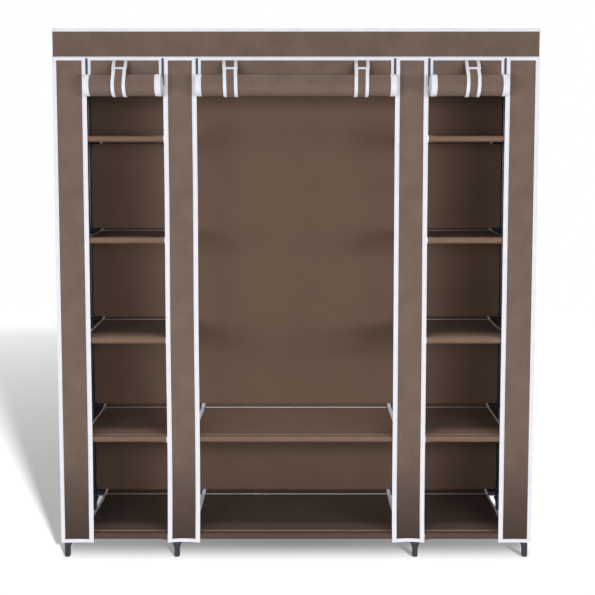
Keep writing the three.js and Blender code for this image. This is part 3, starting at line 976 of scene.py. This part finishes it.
# Rolled doors
ROLL_RADIUS = 0.0351
ROLL_PITCH = 0.0025
ROLL_CORE = 0.005
ROLL_TURN_STEPS = 30
ROLL_COLUMNS = 34
ROLL_EASE = 0.0006
ROLL_SQUEEZE = 0.03
ROLL_SQUEEZE_REACH = 0.032
ROLL_INSET = 0.001
ROLL_BAND = 0.018
DOOR_INSET = 0.002
ROLL_Y = FRONT + DOOR_INSET - ROLL_RADIUS
FLAP_BAND = 0.0105
FLAP_INSET = 0.0015
FLAP_LAP = 0.008
FLAP_EASE = 0.0006
FLAP_FOLD = 0.0012
ZIP_PROUD = 0.0034
ZIP_LAP = 0.006
ZIP_THICKNESS = 0.0007
ZIP_SECTION = (  # shares of its width and thickness
    (-0.5, -0.5), (-0.22, -0.6), (-0.13, -1.4), (0.13, -1.4),
    (0.22, -0.6), (0.5, -0.5), (0.5, 0.5), (-0.5, 0.5),
)


def roll_grid(left, right, straps, seed):
    """A rolled door: from the back of the roll under it and up its front, and in to its core."""
    steps = round((ROLL_RADIUS - ROLL_CORE) / ROLL_PITCH * ROLL_TURN_STEPS)
    angles = np.arange(steps + 1) / ROLL_TURN_STEPS * math.tau
    angle, share = np.meshgrid(angles, np.linspace(0, 1, ROLL_COLUMNS), indexing="ij")
    x = left + (right - left) * share
    base = ROLL_RADIUS - CLOTH / 2 - ROLL_EASE - ROLL_PITCH * angle / math.tau
    free = (1 - np.cos(angle)) / 2
    first = np.clip(angle / math.pi, 0, 1)
    loose = ripple(x, np.cos(angle), seed, *ROLL_WAVE)
    loose += ripple(x, np.sin(angle), seed + 1, *ROLL_FRONT_WAVE)
    squeeze = ROLL_SQUEEZE * sum(np.exp(-(((x - s) / ROLL_SQUEEZE_REACH) ** 2)) for s in straps)
    radius = base * (1 - squeeze * free) + loose * first * free * base / ROLL_RADIUS - ROLL_EASE * first
    y = ROLL_Y + radius * np.cos(angle)
    z = ROLL_HEIGHT - radius * np.sin(angle)
    telescope = ripple(angle, 0, seed + 2, *ROLL_END_WAVE) * (1 - np.exp(-angle / 3))
    return joined(x + telescope * np.sign(share - 0.5) * np.abs(2 * share - 1), y, z)


def straps_of(side):
    low, high = DOORS[side]
    return [name for name, x in STRAP_XS.items() if low.x < x < high.x]


def build_door(side, seed):
    """One door: its roll, and its flap with a zip along each side."""
    left, right = DOORS[side][0].x + ROLL_INSET, DOORS[side][1].x - ROLL_INSET
    straps = straps_of(side)
    joint, body = f"door_{side}_unroll", f"door_{side}"

    def flatten(piece):
        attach(piece, body)
        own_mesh(piece)

    def stretch(piece):
        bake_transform(piece)

    grid = roll_grid(left, right, [STRAP_XS[name] for name in straps], seed)
    sewn(f"rolled_door_{side}", grid,
         both_sides(ROLL_BAND), [f"door_roll_{side}"], flatten)

    def flap(x, z):
        drop = (HEADER_BOTTOM - z) / (HEADER_BOTTOM - ROLL_HEIGHT)
        folds = ripple(x, z, seed + 3, *FLAP_WAVE) * np.clip(drop, 0, 1) * np.clip(2 - 2 * drop, 0, 1)
        return x, FRONT + DOOR_INSET - CLOTH / 2 - FLAP_EASE + np.clip(folds, -FLAP_FOLD, FLAP_FOLD), z

    top = HEADER_BOTTOM + FLAP_LAP
    grid = panel_grid(left + FLAP_INSET, right - FLAP_INSET, ROLL_HEIGHT, top, 60, 120, flap)
    sewn(f"door_cloth_{side}", grid, both_sides(FLAP_BAND), [f"door_flap_{side}"],
         stretch, (BROWN_DOOR, WHITE_DOOR))
    section = [(a * ZIP_WIDTH, b * ZIP_THICKNESS) for a, b in ZIP_SECTION]
    around = [a + ZIP_WIDTH / 2 for a, _ in section] + [0.0]
    zs = np.linspace(ROLL_HEIGHT, HEADER_BOTTOM + ZIP_LAP, 120)
    for x, word in ((left, "left"), (right, "right")):
        line = joined(x, FRONT_CLOTH - ZIP_PROUD, zs)
        make(f"zip_{side}_{word}", [sweep(line, section, (1, 0, 0), (0, 1, 0), around)], NAVY, move=stretch)


# Straps
STRAP_WIDTH = 0.043
STRAP_BAND = 0.0100
STRAP_BAR = 1.5435
STRAP_BAR_HEIGHT = 0.0088
STRAP_LIFT = 0.0005
STRAP_START = np.array([FRONT - 0.0004, HEADER_BOTTOM - 0.0008])
STRAP_TOP = 1.578
STRAP_ARC_POINTS = 44
BAND_LEAN = (0.0024, 0.0048)
TAB_POINTS = 8
TAB_WIDTH = 0.0455
TAB_LIFT = 0.0022
TAB_LEAN = (0.0005, 0.0024)
LEAN_LENGTH = 0.05


def strap_line():
    """The strap's (y, z) path: the tab down to the bar, and the band on round the roll and up behind it."""
    radius = ROLL_RADIUS + STRAP_LIFT
    centre = np.array([ROLL_Y, ROLL_HEIGHT])
    reach = STRAP_START - centre
    leave = math.atan2(reach[1], reach[0]) + math.acos(radius / np.linalg.norm(reach))
    angles = np.linspace(leave, math.tau, STRAP_ARC_POINTS)
    arc = centre + radius * on_circle(angles)
    bar = (STRAP_START[1] - STRAP_BAR) / (STRAP_START[1] - arc[0, 1])
    tab = between(STRAP_START, arc[0], np.linspace(0, bar, TAB_POINTS))
    first = between(STRAP_START, arc[0], np.linspace(bar, 1, 6)[:-1])
    last = between(arc[-1], np.array([arc[-1, 0], STRAP_TOP]), np.linspace(0, 1, 14)[1:])
    return tab, np.concatenate([first, arc, last])


def build_strap(name, seed):
    """One strap: the band round the roll, and the tab in front of it."""
    x = STRAP_XS[name]

    def flatten_to():
        def move(piece):
            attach(piece, "wardrobe")
            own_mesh(piece)
        return move

    def strip(line, distances, lean, width):
        across, row = np.meshgrid(np.linspace(-0.5, 0.5, 9), distances)
        start, end = lean
        inward = (start + (end - start) * np.clip(row / LEAN_LENGTH, 0, 1)) * -math.copysign(1, x)
        wander = inward + ripple(row, 0, seed + 1, *STRAP_WAVE)
        return joined(x + across * width + wander, line[:, 0:1], line[:, 1:2])

    tab, line = strap_line()
    grid = strip(line, lengths_along(line[:, None], 0), BAND_LEAN, STRAP_WIDTH)
    sewn(f"strap_band_{name}", grid, both_sides(STRAP_BAND), [f"strap_{name}"],
         flatten_to())
    tab[:, 0] -= TAB_LIFT
    tab_run = (tab[0, 1] - tab[:, 1]) * LEAN_LENGTH / (tab[0, 1] - tab[-1, 1])
    grid = strip(tab, tab_run, TAB_LEAN, TAB_WIDTH)
    sewn(f"strap_tab_{name}", grid,
         [*both_sides(STRAP_BAND), ("top", STRAP_BAR_HEIGHT)], [f"strap_{name}"], flatten_to())


def build_doors():
    for number, side in enumerate(DOORS):
        build_door(side, DOOR_SEED + 10 * number)
        for name in straps_of(side):
            build_strap(name, STRAP_SEED + len(name))


for level_name, (level_low, level_high) in FRAME_LEVELS.items():
    build_level(level_name, level_low, level_high)
build_posts()
build_feet()
build_rod()
build_strips()
build_header()
build_walls()
build_piping()
build_shelves()
build_doors()


# Floor, lights and camera
FLOOR_SIZE = 60.0
FLOOR_DROP = 0.0005
AMBIENT = 0.07
FLOOR_OWN_LIGHT = 0.25
FLOOR_WHITE = (0.9, 0.9, 0.9, 1)
FLOOR_FADE = 5.9
CONTACT_SHADE = 0.043
SUN_STRENGTH = 6.7
SUN_DISTANCE = 5.0
SUN_AZIMUTH = math.radians(22.0)
SUN_ELEVATION = math.radians(22.0)
SUN_ANGLE = math.radians(4.0)
INSIDE_PIECES = ("cloth_shelf", "seam_", "back_cloth", "side_cloth", "rails", "connectors", "upright")

# Each lamp's place, what it points at, its power and its size. Those of LAMPS stand on both sides.
LAMPS = {
    "key": ((1.2, -3.25, 1.35), (0.6, 0, 1.1), 32.5, (1.15, 0.6)),
    "wide": ((2.4, -2.85, 1.25), (1.2, 0, 1.0), 25, (1.3, 0.7)),
    "side": ((4.2, 0.5, 1.3), (0.7, 0.1, 0.9), 50, (1.2, 1.6)),
}
MIDDLE_LAMPS = {
    "high": ((0, -1.9, 5.0), (0, 0, 0.4), 86, (1.2, 0.6)),
    "back": ((0, 3.6, 1.3), (0, 0.2, 0.9), 84, (2.8, 1.6)),
    "top": ((0, 0.4, 4.6), (0, 0.1, 1.6), 56, (2.0, 0.8)),
}


def shows_to_camera(tree):
    """1 for rays from the camera and for ones that a shiny or clear surface sends on."""
    paths = tree.nodes.new("ShaderNodeLightPath").outputs
    seen = math_node("MAXIMUM", paths["Is Camera Ray"], paths["Is Glossy Ray"])
    return math_node("MAXIMUM", seen, paths["Is Transmission Ray"])


def build_world():
    world = bpy.data.worlds.new("plain_white")
    world.use_nodes = True
    tree = world.node_tree
    tree.nodes.clear()
    lit = add_node("Background", PURE_WHITE, AMBIENT, tree=tree)
    shown = add_node("Background", PURE_WHITE, 1.0, tree=tree)
    mix = add_node("MixShader", shows_to_camera(tree), lit.outputs[0], shown.outputs[0])
    add_node("OutputWorld", mix.outputs[0])
    bpy.context.scene.world = world


def build_floor():
    """A white floor that fades into the background, with painted shade under the wardrobe."""
    half = FLOOR_SIZE / 2
    mesh = bpy.data.meshes.new("floor")
    corners = ((-1, -1), (1, -1), (1, 1), (-1, 1))
    mesh.from_pydata([(half * x, half * y, -FLOOR_DROP) for x, y in corners], [], [(0, 1, 2, 3)])
    floor = new_object("floor", mesh)
    material = bpy.data.materials.new("white_floor")
    material.use_nodes = True
    tree = material.node_tree
    tree.nodes.clear()
    place = add_node("NewGeometry", tree=tree).outputs["Position"]
    distance = add_node("VectorMath", place, operation="LENGTH").outputs["Value"]
    fade = math_node("MINIMUM", math_node("DIVIDE", distance, FLOOR_FADE), 1.0)
    seen = shows_to_camera(tree)
    x, y, _ = add_node("SeparateXYZ", place).outputs
    # Painted shade: the floor's colour goes to black under the wardrobe's footprint.
    off_middle = math_node("ABSOLUTE", x)
    within = spread(off_middle, SIDE - CONTACT_SHADE / 2, SIDE + CONTACT_SHADE / 2, 1.0, 0.0)
    behind_front = spread(y, FRONT - CONTACT_SHADE, FRONT + CONTACT_SHADE * 3)
    before_back = spread(y, BACK, BACK + CONTACT_SHADE * 2, 1.0, 0.0)
    under = times(within, times(behind_front, before_back))
    shade = add_node("BsdfDiffuse", blend_colour(under, FLOOR_WHITE, BLACK))
    own = add_node("Emission", PURE_WHITE, times(seen, FLOOR_OWN_LIGHT))
    near = add_node("AddShader", shade.outputs[0], own.outputs[0])
    far = add_node("Emission", PURE_WHITE, seen)
    mix = add_node("MixShader", fade, near.outputs[0], far.outputs[0])
    add_node("OutputMaterial", mix.outputs[0])
    mesh.materials.append(material)
    return floor


def light_only(lamp, objects, word, state):
    """Make a lamp light only the given objects, or all but them."""
    group = bpy.data.collections.new(word)
    for item in objects:
        group.objects.link(item)
    lamp.light_linking.receiver_collection = group
    for link in group.collection_objects:
        link.light_linking.link_state = state


def add_lamp(name, kind, place, target, **settings):
    data = bpy.data.lights.new(name, kind)
    for key, value in settings.items():
        setattr(data, key, value)
    lamp = new_object(name, data)
    lamp.location = place
    lamp.rotation_euler = (Vector(target) - Vector(place)).to_track_quat("-Z", "Y").to_euler()
    return lamp


def build_lights(floor):
    """A sun for the floor's shadow, and soft lamps for the wardrobe."""
    level = math.cos(SUN_ELEVATION)
    towards = (level * math.sin(SUN_AZIMUTH), -level * math.cos(SUN_AZIMUTH), math.sin(SUN_ELEVATION))
    place = Vector(towards) * SUN_DISTANCE
    sun = add_lamp("floor_sun", "SUN", place, (0, 0, 0), energy=SUN_STRENGTH, angle=SUN_ANGLE)
    light_only(sun, [floor], "floor_only", "INCLUDE")
    lamps = dict(MIDDLE_LAMPS)
    for name, ((x, y, z), (aim_x, aim_y, aim_z), power, size) in LAMPS.items():
        for side, word in ((-1, "left"), (1, "right")):
            lamps[f"{name}_{word}"] = ((side * x, y, z), (side * aim_x, aim_y, aim_z), power, size)
    inside = [piece for piece in bpy.data.objects if piece.name.startswith(INSIDE_PIECES)]
    for name, (place, aim, power, (wide, high)) in lamps.items():
        soft = add_lamp(name, "AREA", place, aim, energy=power, shape="RECTANGLE", size=wide, size_y=high)
        if name == "high":
            light_only(soft, inside, f"{name}_inside", "INCLUDE")
        else:
            light_only(soft, [floor], f"{name}_object", "EXCLUDE")


CAMERA_PLACE = (0.0046, FRONT - 3.1, 1.27)
CAMERA_TILT = math.radians(4.58)
CAMERA_LENS = 60.4
CAMERA_SHIFT = -0.098


def build_camera():
    data = bpy.data.cameras.new("camera")
    data.lens = CAMERA_LENS
    data.shift_y = CAMERA_SHIFT
    camera = new_object("camera", data)
    camera.location = CAMERA_PLACE
    camera.rotation_euler = (math.pi / 2 - CAMERA_TILT, 0, 0)
    bpy.context.scene.camera = camera


build_world()
build_lights(build_floor())
build_camera()
bpy.context.scene.view_settings.view_transform = "Standard"
